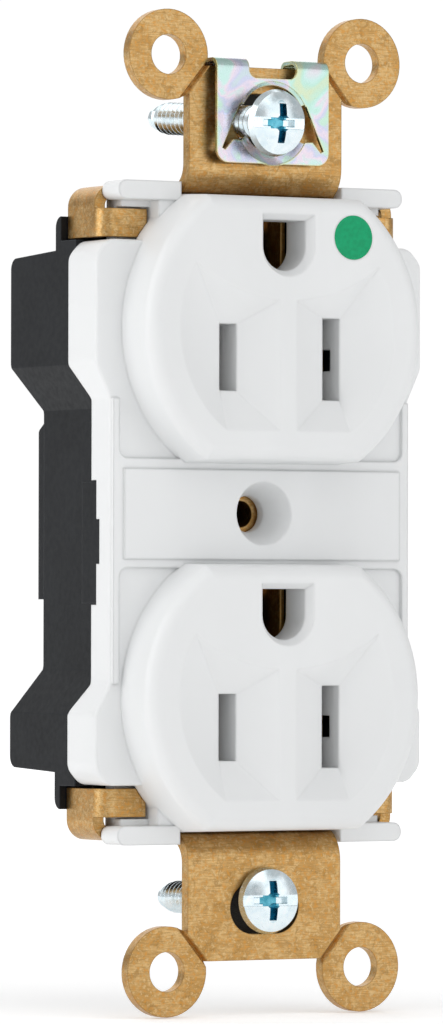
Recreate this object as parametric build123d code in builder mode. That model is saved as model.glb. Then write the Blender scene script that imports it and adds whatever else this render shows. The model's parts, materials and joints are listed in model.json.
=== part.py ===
from build123d import *
import math
import os

# Duplex wall outlet, hospital grade, 15 A 125 V, millimetres.
# The wall plane is y = 0: the backs of the four mounting ears rest on it. The outlet faces -Y, +Z is up,
# and the origin is the middle of the four ear holes. A "level" is a distance in front of the wall plane,
# so levels behind the wall are negative.

# ---- driving dimensions -------------------------------------------------------------------------
SCREW_SPACING = 83.34        # upper to lower mounting screw
OUTLET_SPACING = 38.9        # centre of the upper face to centre of the lower face
SLOT_SPACING = 12.7          # hot slot to neutral slot
FACE_RADIUS = 17.05
FACE_HALF_HEIGHT = 14.15     # the round faces are cut flat above and below
STRAP_THICKNESS = 1.27
EAR_SPACING_X = 23.86
EAR_SPACING_Z = 96.4

# Levels of the front surfaces
FACE_LEVEL = 6.0
SLOT_RIM_LEVEL = 4.15        # each slot lies at the bottom of a shallow faceted funnel
FACE_WALL_BACK = 2.25
SLOT_GUIDE_BACK = 0.4
GROUND_GUIDE_BACK = 1.2
PANEL_LEVEL = 1.0
FRAME_LEVEL = 0.7            # raised strips along the waist and beside the panel
FLANGE_LEVEL = 0.3
RAIL_LEVEL = 0.5
END_LEVEL = 0.25
POST_LEVEL = -1.7
SHELF_LEVEL = -2.95          # the strap's hooks press on these corner shelves
RAIL_BACK = -3.0
FLANGE_BACK = -1.3
SKIRT_BACK = -5.6
WAIST_SKIRT_BACK = -3.6
RUN_FRONT = -5.45            # the strap's long run between cover and body
RUN_BACK = RUN_FRONT - STRAP_THICKNESS

# Flange outline: two wide lobes and a waist
LOBE_HALF_WIDTH = 20.1
WAIST_HALF_WIDTH = 18.4
FLANGE_HALF_HEIGHT = 28.65
FLANGE_ROUNDING = 1.8
FLANGE_EDGE = 0.35
END_HALF_WIDTH = 12.5        # between the hooks
END_HALF_HEIGHT = 33.1
END_BACK = -4.9
SHELF_HALF_WIDTH = 15.9
HOOK_RECESS_INNER = 12.7
HOOK_RECESS_HIGH = 32.2
RAIL_X = (9.9, 17.5)
RAIL_Z = (32.9, 34.9)
RAIL_ROUNDING = 0.95
COVER_WALL = 1.5
END_WALL_INNER = 11.4
FACE_DRAFT = 2.8             # degrees
FACE_ROUNDING = 1.5

FRAME_X = (17.45, 18.2)
FRAME_RANGE = (-18.0, 12.0)
FRAME_BANDS = (-5.8, 5.7)    # outer edges of the strips above and below the panel
PANEL_HALF_WIDTH = 17.0
PANEL_RANGE = (-4.9, 4.6)
WAIST_RANGE = (-18.1, 11.9)  # heights between which the skirt is shortest
WAIST_ENDS = (-21.3, 15.5)   # heights beyond which the skirt is full
LATCH_RANGE = (-9.7, 3.4)
LATCH_TIP_RANGE = (-5.4, -0.7)
LATCH_LEVEL = -2.55
LATCH_TIP_LEVEL = -1.9

# Slots and ground holes, relative to their outlet's centre
SLOT_WIDTH = 2.1
HOT_SLOT_HEIGHT = 7.05
NEUTRAL_SLOT_HEIGHT = 8.7
SLOT_DROP = 3.1
GROUND_HOLE_RADIUS = 2.61
GROUND_HOLE_RISE = 8.7
GROUND_HOLE_TOP = 2.77       # flat top above the round's centre
GROUND_BEVEL = 0.6
GROUND_BEVEL_DEPTH = 0.92

# Body
BODY_FRONT = -5.65
BODY_HALF_WIDTH = 19.2
BODY_WAIST_HALF_WIDTH = 17.2
BODY_STEP_BACK = -9.95
BODY_WAIST_BACK = -16.0
BODY_BACK = -19.7
BODY_WALL = 1.4
BODY_ROUNDING = 1.2
BODY_HIGH = 31.4
BODY_LOW = -31.3
CORNER_BLOCK = (15.4, 28.2)  # solid corners of the rim, outside this x and |z|
ARM_POCKET = (16.98, 28.8)   # the strap's arms lie in pockets outside this x and |z|
BOSS_HALF_WIDTH = 16.6
BOSS_RANGE = (-9.1, 10.4)
PORT_BACK = -19.1
PORT_FLOOR = -11.7
PORT_HALF_WIDTH = 11.5
PORT_RANGE = (-8.0, 8.5)
RIB_FRONT = -7.4

# Strap
YOKE_HALF_WIDTH = 9.4
YOKE_END = 47.2
LEG_INNER = 33.25
YOKE_BEND = 3.6
ARM_HALF_WIDTH = 18.4
ARM_LOW = 29.0
ARM_HIGH = 32.0
HOOK_LEVEL = -1.6
HOOK_TIP = 12.9
HOOK_CHAMFER = 0.85          # cuts the corner of each hook's tip that lies nearest the face
EAR_RADIUS = 4.775
EAR_HOLE_RADIUS = 2.1
MOUNTING_SLOT = (8.4, 5.5)
PLATE_SCREW_BORE = 1.4       # tapped for a No. 6-32 cover-plate screw
COLLAR_FRONT = -3.87         # the tapped hole's collar stands forward into the cover
COLLAR_RADIUS = 2.5
RUN_HALF_WIDTH = 3.2
RUN_BEND = 1.45              # middle-line radius
ARM_FRONT = -3.1
ARM_BACK = -8.75
ARM_BEND = 1.55              # middle-line radius
HOOK_BEND = 0.9              # middle-line radius
SCORE_DISTANCE = 4.2         # from an ear's centre to its break-off score
SCORE_ANGLE = math.radians(40)
SCORE_DEPTH = 0.4

# Contacts
CONTACT_SHEET = 0.6
BUS_SHEET = 0.8
CONTACT_HEIGHT = 5.8
CONTACT_OUTER = 1.6          # from the slot's centre to the contact's flat outer side
GROUND_PIN_CLEARANCE = 2.8   # radius of the strap's holes for the ground pins
BUS_INNER = SLOT_SPACING / 2 + CONTACT_OUTER
BUS_FRONT = -7.3
BUS_BACK = -10.1
BLADE_RANGE = (-4.0, 2.4)
BLADE_BACK = -18.3
GROUND_BLADE_HEIGHT = 6.0
GROUND_BLADE_HALF_WIDTH = 3.1
RIVET_RADIUS = 0.9
INSULATOR_FRONT = -1.6

# Grounding clip on the upper yoke
CLIP_LEVEL = 2.77
CLIP_SHEET = 0.4
CLIP_HALF_WIDTH = 6.9
CLIP_LOW = 36.95
CLIP_HIGH = 47.85            # middle line of its top bend
CLIP_HOOK_DEPTH = 0.45
CLIP_NOTCH_HALF_WIDTH = 2.95
CLIP_NOTCH_LOW = 46.0
CLIP_NOTCH_CORNER = 0.9
CLIP_CENTRE = 41.3
CLIP_OPENING_RADIUS = 4.4
CLIP_TONGUE = (-1, 3.0, 1.45)  # below the opening; inner radius, depth
CLIP_LIP = (1, 4.0, 0.6)     # above the opening; inner radius, depth
CLIP_EDGE_ARC = 62           # degrees each side of the middle

# No. 6-32 mounting screws
THREAD_RADIUS = 1.75
THREAD_ROOT = 1.33
THREAD_PITCH = 0.794
THREAD_CLEARANCE = 0.05
HEAD_RADIUS = 3.55
HEAD_HEIGHT = 1.75
HEAD_SIDE = 1.05             # height of the head's side below its dome
DRIVE_SLOT = (9.0, 1.15, 0.8)  # length, width, depth
DRIVE_CROSS = (3.9, 0.6, 1.4)  # length, width, depth
DRIVE_CENTRE = 0.75
SCREW_LENGTH = 22.2          # under the head
RETAINER_THICKNESS = 0.8

# Green hospital-grade dot on the upper face
DOT_X = 8.0
DOT_Z = 29.25
DOT_RADIUS = 2.35
DOT_DEPTH = 0.3

ASSEMBLY_SCREW_RADIUS = 1.1
ASSEMBLY_HEAD_RADIUS = 2.2
ASSEMBLY_HEAD_SEAT = -17.9

OUTLETS = {"upper": OUTLET_SPACING / 2, "lower": -OUTLET_SPACING / 2}
SLOT_HEIGHTS = {"hot": HOT_SLOT_HEIGHT, "neutral": NEUTRAL_SLOT_HEIGHT}
SIDES = {"hot": -1, "neutral": 1}
ASSEMBLY_SCREWS = [(x, z) for x in (-14.5, 14.5) for z in (-24.0, 24.0)]


def level(distance):
    """The plane this far in front of the wall: local x is +X, local y is +Z, and its normal is -Y."""
    return Plane.XZ.offset(distance)


def ground_height(centre):
    """Height of a ground hole's round centre, for the outlet centred at this height."""
    return centre + GROUND_HOLE_RISE


def slot_height(centre):
    """Height of a slot's middle, for the outlet centred at this height."""
    return centre - SLOT_DROP


# ---- outlines -----------------------------------------------------------------------------------
def both_sides(right_half):
    """Closes an outline given down its right side by mirroring it in the middle plane."""
    return right_half + [(-x, z) for x, z in reversed(right_half)]


def flange_outline():
    """Outline of the cover's flange: an upper lobe, a waist and a shorter lower lobe."""
    return both_sides([
        (LOBE_HALF_WIDTH - 1.5, FLANGE_HALF_HEIGHT),
        (LOBE_HALF_WIDTH, FLANGE_HALF_HEIGHT - 1.7),
        (LOBE_HALF_WIDTH, 15.6),
        (WAIST_HALF_WIDTH, 12.0),
        (WAIST_HALF_WIDTH, -18.0),
        (LOBE_HALF_WIDTH, -21.0),
        (LOBE_HALF_WIDTH, -FLANGE_HALF_HEIGHT + 1.7),
        (LOBE_HALF_WIDTH - 1.5, -FLANGE_HALF_HEIGHT),
    ])


def body_outline():
    """Outline of the body seen from the front."""
    return both_sides([
        (BODY_HALF_WIDTH, BODY_HIGH),
        (BODY_HALF_WIDTH, 15.6),
        (BODY_WAIST_HALF_WIDTH, 11.0),
        (BODY_WAIST_HALF_WIDTH, -16.6),
        (BODY_HALF_WIDTH, -21.2),
        (BODY_HALF_WIDTH, BODY_LOW),
    ])


def body_side_profile(front=-BODY_FRONT):
    """Side view of the body as (y, z): a shallow rim with two deep blocks and a shallower waist."""
    return [
        (front, BODY_HIGH),
        (-BODY_STEP_BACK, BODY_HIGH),
        (-BODY_STEP_BACK, 27.8),
        (-BODY_BACK, 27.3),
        (-BODY_BACK, 15.8),
        (-BODY_WAIST_BACK, 10.9),
        (-BODY_WAIST_BACK, -16.4),
        (-BODY_BACK, -21.4),
        (-BODY_BACK, -27.0),
        (-BODY_STEP_BACK, -27.4),
        (-BODY_STEP_BACK, BODY_LOW),
        (front, BODY_LOW),
    ]


def block(x_range, z_range, front, back, mode=Mode.ADD):
    """A straight block between two levels, given by its ranges of x and z."""
    middle = (sum(x_range) / 2, -(front + back) / 2, sum(z_range) / 2)
    with Locations(middle):
        Box(x_range[1] - x_range[0], front - back, z_range[1] - z_range[0], mode=mode)


def rod(x, z, radius, front, back, mode=Mode.ADD):
    """A cylinder along Y between two levels."""
    with Locations((x, -(front + back) / 2, z)):
        Cylinder(radius, front - back, rotation=(90, 0, 0), mode=mode)


def waist_cut():
    """Side view, as (y, z), of the part of the skirt that is cut away along the waist."""
    return [
        (-WAIST_SKIRT_BACK, WAIST_RANGE[1]),
        (-SKIRT_BACK, WAIST_ENDS[1]),
        (1.5 - SKIRT_BACK, WAIST_ENDS[1]),
        (1.5 - SKIRT_BACK, WAIST_ENDS[0]),
        (-SKIRT_BACK, WAIST_ENDS[0]),
        (-WAIST_SKIRT_BACK, WAIST_RANGE[0]),
    ]


def outline_prism(points, front, back, inset=0.0):
    """A prism between two levels, from a straight-sided outline moved inwards by the inset."""
    with BuildPart() as prism:
        with BuildSketch(level(front)):
            with BuildLine():
                Polyline(*points, close=True)
            make_face()
            if inset:
                offset(amount=-inset, kind=Kind.INTERSECTION)
        extrude(amount=back - front)
    return prism.part


def side_prism(points, half_width, inset=0.0):
    """A prism along X, from an outline of (y, z) points moved inwards by the inset."""
    with BuildPart() as prism:
        with BuildSketch(Plane.YZ):
            with BuildLine():
                Polyline(*points, close=True)
            make_face()
            if inset:
                offset(amount=-inset, kind=Kind.INTERSECTION)
        extrude(amount=half_width, both=True)
    return prism.part


def face_prism(centre, front, back, inset=0.0):
    """A round face with its flat top and bottom, between two levels."""
    with BuildPart() as prism:
        with BuildSketch(level(front)):
            with Locations((0, centre)):
                Circle(FACE_RADIUS - inset)
                Rectangle(3 * FACE_RADIUS, 2 * (FACE_HALF_HEIGHT - inset), mode=Mode.INTERSECT)
        extrude(amount=back - front)
    return prism.part


def raised_face(centre):
    """The part of a face that stands out of the flange, with drafted sides and a rounded front edge."""
    with BuildPart() as face:
        with BuildSketch(level(END_LEVEL)):
            with Locations((0, centre)):
                Circle(FACE_RADIUS)
                Rectangle(3 * FACE_RADIUS, 2 * FACE_HALF_HEIGHT, mode=Mode.INTERSECT)
        extrude(amount=FACE_LEVEL - END_LEVEL, taper=FACE_DRAFT)
        fillet(face.faces().filter_by(Plane.XZ).group_by(Axis.Y)[0].edges(), radius=FACE_ROUNDING)
    return face.part


def ground_hole_prism(centre, front, back, front_margin=0.0, back_margin=0.0):
    """The shape of a ground hole, round below and flat on top, widened by a margin at each end."""
    with BuildPart() as prism:
        for at, margin in ((front, front_margin), (back, back_margin)):
            radius = GROUND_HOLE_RADIUS + margin
            top = ground_height(centre) + GROUND_HOLE_TOP + margin
            middle = ground_height(centre)
            with BuildSketch(level(at)):
                with BuildLine():
                    Polyline((-radius, middle), (-radius, top), (radius, top), (radius, middle))
                    ThreePointArc((-radius, middle), (0, middle - radius), (radius, middle))
                make_face()
        loft(ruled=True)
    return prism.part


def slot_prism(side, centre, height, front, back, margin=0.0):
    """A straight passage, or with a margin the wall around it, for one slot."""
    middle = (side * SLOT_SPACING / 2, slot_height(centre))
    with BuildPart() as prism:
        with BuildSketch(level(front)):
            with Locations(middle):
                Rectangle(SLOT_WIDTH + 2 * margin, height + 2 * margin)
        extrude(amount=back - front)
    return prism.part


def slot_funnel(side, centre, height):
    """The faceted funnel of one slot, from its wide outline on the face down to the slot's rim."""
    ridge = 1.0
    reach = 13.2
    bottom = -10.8
    top_outer = 6.8
    top_inner = 3.0
    x_outer_top = math.sqrt(reach**2 - top_outer**2)
    x_outer_bottom = math.sqrt(reach**2 - bottom**2)
    inner_bottom = (side * ridge, centre + bottom)
    inner_top = (side * ridge, centre + top_inner)
    outer_top = (side * x_outer_top, centre + top_outer)
    outer_bottom = (side * x_outer_bottom, centre + bottom)
    with BuildPart() as funnel:
        with BuildSketch(level(FACE_LEVEL)):
            with BuildLine():
                Line(inner_bottom, inner_top)
                ThreePointArc(inner_top, (side * 6.5, centre + 4.15), outer_top)
                ThreePointArc(outer_top, (side * reach, centre), outer_bottom)
                Line(outer_bottom, inner_bottom)
            make_face()
        with BuildSketch(level(SLOT_RIM_LEVEL)):
            with Locations((side * SLOT_SPACING / 2, slot_height(centre))):
                Rectangle(SLOT_WIDTH, height)
        loft(ruled=True)
    return funnel.part


# ---- face cover: one white nylon moulding -------------------------------------------------------
with BuildPart() as face_cover:
    add(outline_prism(flange_outline(), FLANGE_LEVEL, SKIRT_BACK))
    fillet(face_cover.edges().filter_by(Axis.Y), radius=FLANGE_ROUNDING)
    fillet(face_cover.faces().filter_by(Plane.XZ).group_by(Axis.Y)[0].edges(), radius=FLANGE_EDGE)
    # Raised frame along the waist, open towards both faces
    block((-FRAME_X[1], FRAME_X[1]), FRAME_RANGE, FRAME_LEVEL, 0)
    for band in FRAME_BANDS:
        far = math.copysign(FLANGE_HALF_HEIGHT, band)
        with BuildSketch(level(FRAME_LEVEL)):
            with Locations((0, (band + far) / 2)):
                RectangleRounded(2 * FRAME_X[0], abs(far - band), 1.0)
        extrude(amount=FLANGE_LEVEL - FRAME_LEVEL, mode=Mode.SUBTRACT)
    add(side_prism(waist_cut(), 21), mode=Mode.SUBTRACT)
    # Ends between the strap's hooks, and the low shelves and posts beside them
    block((-END_HALF_WIDTH, END_HALF_WIDTH), (-END_HALF_HEIGHT, END_HALF_HEIGHT), END_LEVEL, END_BACK)
    block((-SHELF_HALF_WIDTH, SHELF_HALF_WIDTH), (-END_HALF_HEIGHT, END_HALF_HEIGHT),
          SHELF_LEVEL, END_BACK)
    for end in (-1, 1):
        block((-SHELF_HALF_WIDTH, SHELF_HALF_WIDTH),
              sorted((end * HOOK_RECESS_HIGH, end * END_HALF_HEIGHT)), POST_LEVEL, END_BACK)
        # Rails that hide the strap's legs, with rounded outer ends
        for side in (-1, 1):
            with BuildSketch(level(RAIL_LEVEL)) as rail:
                with Locations((side * sum(RAIL_X) / 2, end * sum(RAIL_Z) / 2)):
                    Rectangle(RAIL_X[1] - RAIL_X[0], RAIL_Z[1] - RAIL_Z[0])
                fillet(rail.vertices().sort_by(Axis.X)[::side][-2:], radius=RAIL_ROUNDING)
            extrude(amount=RAIL_BACK - RAIL_LEVEL)
    # Raised faces, which carry on down to the shelves but stop short of the strap's bends
    for centre in OUTLETS.values():
        add(raised_face(centre))
        add(face_prism(centre, END_LEVEL, SHELF_LEVEL))
    for end in (-1, 1):
        block((-9.8, 9.8), sorted((end * END_HALF_HEIGHT, end * 34.5)), -0.4, SHELF_LEVEL - 1,
              mode=Mode.SUBTRACT)
        for side in (-1, 1):
            block(sorted((side * HOOK_RECESS_INNER, side * 21)),
                  sorted((end * FLANGE_HALF_HEIGHT, end * HOOK_RECESS_HIGH)),
                  HOOK_LEVEL + 0.1, SHELF_LEVEL, mode=Mode.SUBTRACT)
    # Hollow behind the flange, the ends and both faces
    add(outline_prism(flange_outline(), FLANGE_BACK, SKIRT_BACK, COVER_WALL), mode=Mode.SUBTRACT)
    block((-END_WALL_INNER, END_WALL_INNER),
          (-END_HALF_HEIGHT + COVER_WALL, END_HALF_HEIGHT - COVER_WALL),
          FLANGE_BACK, SKIRT_BACK, mode=Mode.SUBTRACT)
    for centre in OUTLETS.values():
        add(face_prism(centre, FACE_WALL_BACK, SKIRT_BACK, 1.9), mode=Mode.SUBTRACT)
    # Stepped notches in the skirt for the body's latches
    block((-21, 21), LATCH_RANGE, LATCH_LEVEL, SKIRT_BACK, mode=Mode.SUBTRACT)
    block((-21, 21), LATCH_TIP_RANGE, LATCH_TIP_LEVEL, SKIRT_BACK, mode=Mode.SUBTRACT)
    # Centre panel, and the tube around the cover-plate screw
    block((-PANEL_HALF_WIDTH, PANEL_HALF_WIDTH), PANEL_RANGE, PANEL_LEVEL, FLANGE_BACK)
    rod(0, 0, 3.9, PANEL_LEVEL, END_BACK)
    # Walls around the slots and ground holes, behind the face
    for centre in OUTLETS.values():
        for name, side in SIDES.items():
            add(slot_prism(side, centre, SLOT_HEIGHTS[name], FACE_WALL_BACK + 1, SLOT_GUIDE_BACK, 1.0))
        add(ground_hole_prism(centre, FACE_WALL_BACK + 1, GROUND_GUIDE_BACK, 1.0, 1.0))
    # Bosses for the assembly screws
    for x, z in ASSEMBLY_SCREWS:
        rod(x, z, 2.5, FLANGE_BACK + 0.5, -5.5)
        rod(x, z, ASSEMBLY_SCREW_RADIUS, -0.8, -5.5, mode=Mode.SUBTRACT)
    # Funnels, slots and ground holes
    for centre in OUTLETS.values():
        for name, side in SIDES.items():
            add(slot_funnel(side, centre, SLOT_HEIGHTS[name]), mode=Mode.SUBTRACT)
            add(slot_prism(side, centre, SLOT_HEIGHTS[name], FACE_LEVEL, SLOT_GUIDE_BACK),
                mode=Mode.SUBTRACT)
        add(ground_hole_prism(centre, FACE_LEVEL, GROUND_GUIDE_BACK), mode=Mode.SUBTRACT)
        add(ground_hole_prism(centre, FACE_LEVEL, FACE_LEVEL - GROUND_BEVEL_DEPTH, GROUND_BEVEL),
            mode=Mode.SUBTRACT)
        # A window in the outer wall of each neutral slot, behind the face
        neutral_edge = (SLOT_SPACING + SLOT_WIDTH) / 2
        block((neutral_edge - 0.2, neutral_edge + 1.2),
              (slot_height(centre) - 1.15, slot_height(centre) + 1.15),
              FACE_WALL_BACK, SLOT_GUIDE_BACK, mode=Mode.SUBTRACT)
    # Funnel and bore for the cover-plate screw
    with Locations((0, -PANEL_LEVEL + 1.7, 0)):
        Cone(3.37, 1.95, 3.4, rotation=(-90, 0, 0), mode=Mode.SUBTRACT)
    rod(0, 0, 1.95, PANEL_LEVEL, END_BACK, mode=Mode.SUBTRACT)
    rod(0, 0, COLLAR_RADIUS + 0.2, COLLAR_FRONT + 0.25, END_BACK, mode=Mode.SUBTRACT)
    # Seat of the green dot
    rod(DOT_X, DOT_Z, DOT_RADIUS, FACE_LEVEL, FACE_LEVEL - DOT_DEPTH, mode=Mode.SUBTRACT)

# ---- green dot: the hospital-grade mark, flush with the upper face ------------------------------
with BuildPart() as green_dot:
    rod(DOT_X, DOT_Z, DOT_RADIUS, FACE_LEVEL, FACE_LEVEL - DOT_DEPTH)


# ---- back body: one black moulding --------------------------------------------------------------
with BuildPart() as body_shape:
    add(outline_prism(body_outline(), BODY_FRONT, BODY_BACK))
    add(side_prism(body_side_profile(), 25), mode=Mode.INTERSECT)
    # Rounded rear edges, but sharp where the deep blocks rise from the rim
    cross_edges = body_shape.edges().filter_by(Axis.X)
    fillet(cross_edges.filter_by_position(Axis.Y, -BODY_STEP_BACK + 1, 25), radius=BODY_ROUNDING)
    rim_edges = body_shape.edges().filter_by(Axis.X).filter_by_position(Axis.Y, 9, 11)
    fillet(rim_edges.filter_by(lambda edge: abs(edge.center().Z) > 31), radius=BODY_ROUNDING)
body_hollow = outline_prism(body_outline(), BODY_FRONT + 1, BODY_BACK, BODY_WALL) & side_prism(
    body_side_profile(-BODY_FRONT - 2 * BODY_WALL), 25, BODY_WALL)

with BuildPart() as port_boss:
    # Raised surround of the wiring port, across most of the waist
    boss_side = [
        (14.0, BOSS_RANGE[1]),
        (-BODY_WAIST_BACK, BOSS_RANGE[1]),
        (-PORT_BACK, BOSS_RANGE[1] - 2.1),
        (-PORT_BACK, BOSS_RANGE[0]),
        (14.0, BOSS_RANGE[0]),
    ]
    add(side_prism(boss_side, BOSS_HALF_WIDTH))
    fillet(port_boss.edges().filter_by(Axis.Z).group_by(Axis.Y)[-1], radius=BODY_ROUNDING)

with BuildPart() as body_ribs:
    # Two walls between the live chambers and the ground channel
    for side in (-1, 1):
        block(sorted((side * 3.4, side * 4.4)), (-29.5, 29.8), RIB_FRONT, BODY_BACK)
    # Pillars for the assembly screws
    for x, z in ASSEMBLY_SCREWS:
        rod(x, z, 2.6, BODY_FRONT, BODY_BACK)
        rod(x, z, 3.4, -15.5, BODY_BACK)
    add(body_shape.part, mode=Mode.INTERSECT)

with BuildPart() as waist_rim:
    add(outline_prism(body_outline(), WAIST_SKIRT_BACK, BODY_FRONT - 0.5))
    add(outline_prism(body_outline(), WAIST_SKIRT_BACK, BODY_FRONT - 0.5, BODY_WALL), mode=Mode.SUBTRACT)
    add(side_prism(waist_cut(), 25, 0.05), mode=Mode.INTERSECT)

with BuildPart() as back_body:
    add(body_shape.part)
    add(body_hollow, mode=Mode.SUBTRACT)
    add(body_ribs.part)
    # Rim and latches along the waist, which stand forward to meet the shorter skirt
    add(waist_rim.part)
    for side in (-1, 1):
        inner = side * (BODY_WAIST_HALF_WIDTH - BODY_WALL)
        block(sorted((inner, side * 18.1)), (LATCH_RANGE[0] + 0.15, LATCH_RANGE[1] - 0.15),
              LATCH_LEVEL - 0.05, BODY_FRONT - 0.5)
        block(sorted((inner, side * 18.1)), (LATCH_TIP_RANGE[0] + 0.15, LATCH_TIP_RANGE[1] - 0.15),
              LATCH_TIP_LEVEL - 0.05, LATCH_LEVEL - 0.5)
    # Room for the strap's wide ends and for its arms
    for end in (-1, 1):
        block((-9.8, 9.8), sorted((end * 28.0, end * 33.0)), BODY_FRONT + 1, RUN_BACK - 0.1,
              mode=Mode.SUBTRACT)
        for side in (-1, 1):
            block(sorted((side * CORNER_BLOCK[0], side * BODY_HALF_WIDTH)),
                  sorted((end * CORNER_BLOCK[1], end * -BODY_LOW)), BODY_FRONT, BODY_STEP_BACK + BODY_ROUNDING)
            block(sorted((side * ARM_POCKET[0], side * 21.0)), sorted((end * ARM_POCKET[1], end * 33.0)),
                  BODY_FRONT + 1, ARM_BACK - 0.15, mode=Mode.SUBTRACT)
    # Wells behind the ground holes, deep enough for a plug's ground pin
    block((-4.6, 4.6), (24.0, 32.3), -8.5, -17.0)
    block((-4.6, 4.6), (-14.4, -7.0), -13.0, -17.0)
    block((-3.2, 3.2), (22.0, 31.0), RIB_FRONT, -15.6, mode=Mode.SUBTRACT)
    block((-3.2, 3.2), (-13.4, -8.2), RIB_FRONT, -15.6, mode=Mode.SUBTRACT)
    # Wiring port: a closed tub that opens at the back
    add(port_boss.part)
    block((-PORT_HALF_WIDTH - 1.2, PORT_HALF_WIDTH + 1.2), (PORT_RANGE[0] - 1.2, PORT_RANGE[1] + 1.2),
          PORT_FLOOR + 1.2, PORT_BACK)
    block((-PORT_HALF_WIDTH, PORT_HALF_WIDTH), PORT_RANGE, PORT_FLOOR, PORT_BACK - 1, mode=Mode.SUBTRACT)
    for side in (-1, 1):
        block(sorted((side * (BUS_INNER - 0.1), side * (BUS_INNER + BUS_SHEET + 0.1))),
              (BLADE_RANGE[0] - 0.1, BLADE_RANGE[1] + 0.1), PORT_FLOOR + 2, PORT_FLOOR - 1,
              mode=Mode.SUBTRACT)
    block((-GROUND_BLADE_HALF_WIDTH - 0.1, GROUND_BLADE_HALF_WIDTH + 0.1),
          (GROUND_BLADE_HEIGHT - 0.5, GROUND_BLADE_HEIGHT + 0.5), PORT_FLOOR + 2, PORT_FLOOR - 1,
          mode=Mode.SUBTRACT)
    # Holes and head pockets for the assembly screws
    for x, z in ASSEMBLY_SCREWS:
        rod(x, z, ASSEMBLY_SCREW_RADIUS + 0.15, BODY_FRONT + 1, BODY_BACK, mode=Mode.SUBTRACT)
        rod(x, z, ASSEMBLY_HEAD_RADIUS + 0.2, ASSEMBLY_HEAD_SEAT, BODY_BACK - 1, mode=Mode.SUBTRACT)


# ---- insulator: black plate with collars that separates the contacts from the strap --------------
with BuildPart() as contact_insulator:
    block((-10.8, 10.8), (-29.0, 31.2), INSULATOR_FRONT, INSULATOR_FRONT - 1.2)
    for centre in OUTLETS.values():
        for name, side in SIDES.items():
            height = SLOT_HEIGHTS[name]
            add(slot_prism(side, centre, height, FACE_WALL_BACK - 0.2, INSULATOR_FRONT - 0.5, 2.1))
    for centre in OUTLETS.values():
        for name, side in SIDES.items():
            height = SLOT_HEIGHTS[name]
            add(slot_prism(side, centre, height, FACE_LEVEL, INSULATOR_FRONT - 2, 1.2),
                mode=Mode.SUBTRACT)
        pin = ground_height(centre)
        block((-3.4, 3.4), (pin - 3.5, min(pin + 3.5, 31.5)), 0, INSULATOR_FRONT - 2, mode=Mode.SUBTRACT)
    rod(0, 0, 4.1, 0, INSULATOR_FRONT - 2, mode=Mode.SUBTRACT)


# ---- mounting strap: one brass stamping ---------------------------------------------------------
half_sheet = STRAP_THICKNESS / 2
leg_height = LEG_INNER + half_sheet
arm_x = ARM_HALF_WIDTH - half_sheet

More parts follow.
